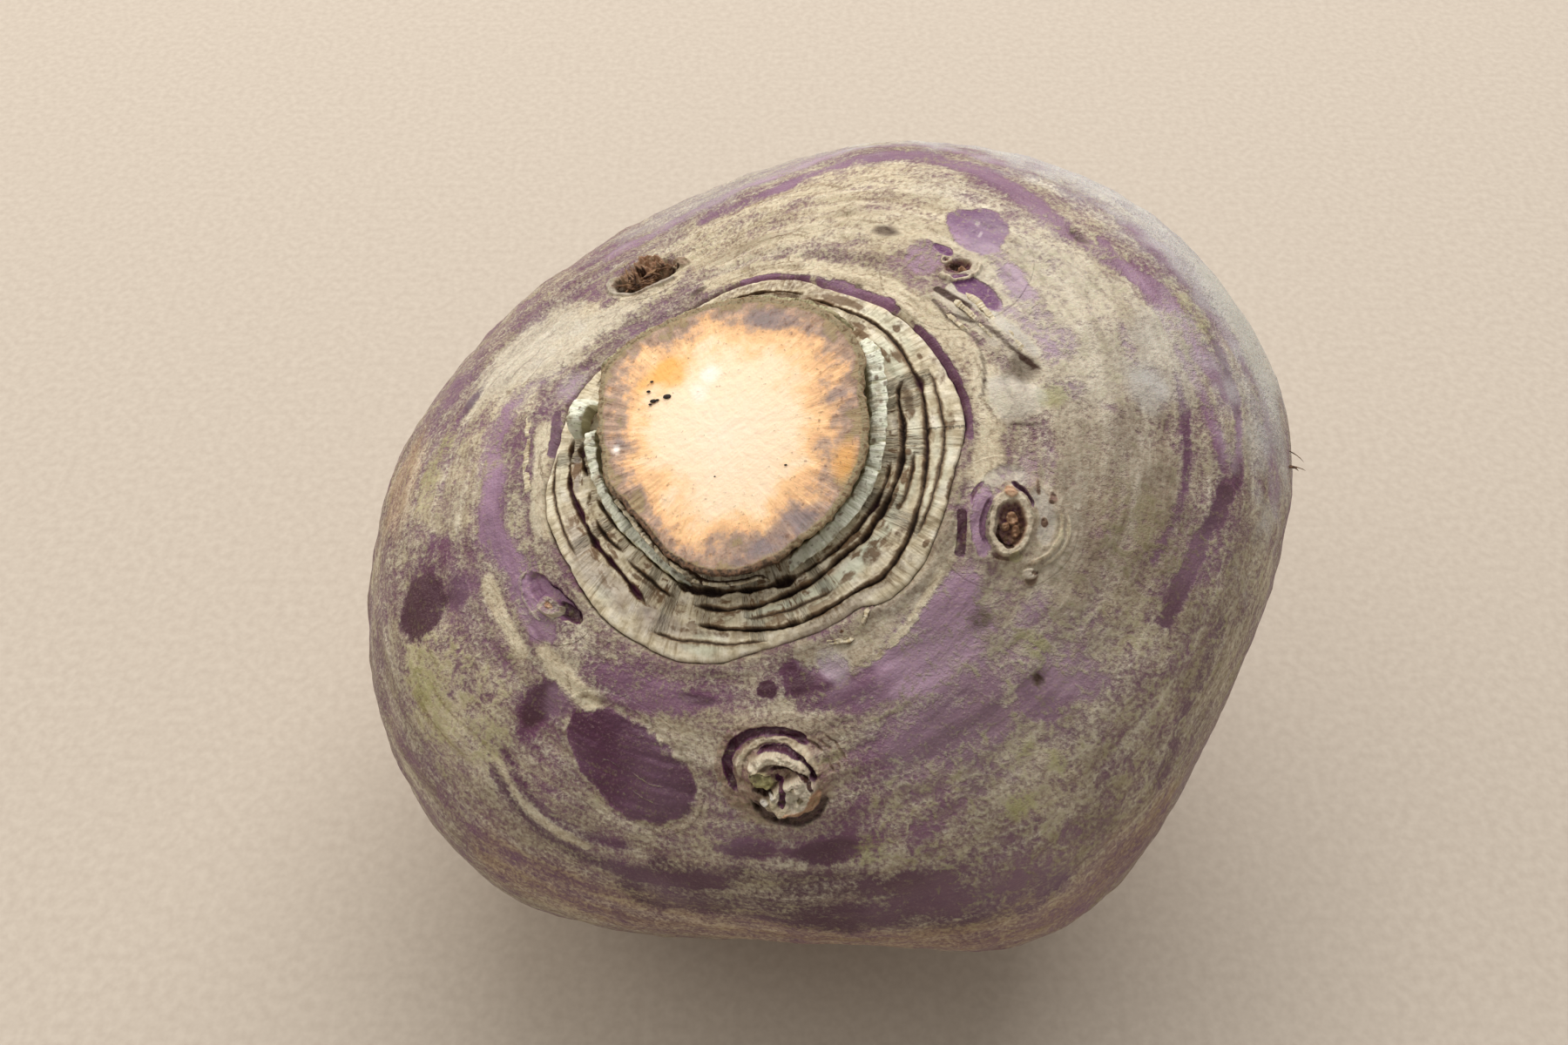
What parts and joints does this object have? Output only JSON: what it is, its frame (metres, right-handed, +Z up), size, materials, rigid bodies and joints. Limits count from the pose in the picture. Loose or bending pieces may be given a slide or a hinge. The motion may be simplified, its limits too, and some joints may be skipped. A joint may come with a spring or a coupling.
{
  "type": "rutabaga",
  "caption": "Whole trimmed rutabaga: a lobed, leaning root with a cut neck in a collar of leaf scars, shoulder buds and a trimmed tail, resting on a small flat spot.",
  "frame": {"origin": "middle of the flat spot that the root rests on", "axes": "+Z up, away from the surface; the cut crown leans towards -Y and a little towards -X"},
  "size_m": [0.1242, 0.1126, 0.1009],
  "materials": {
    "rind": "dull, slightly waxy skin, purple over tan",
    "cut_flesh": "dry pale cut flesh and corky leaf bases"
  },
  "bodies": {
    "root": {"rutabaga": "rind"}
  },
  "joints": []
}
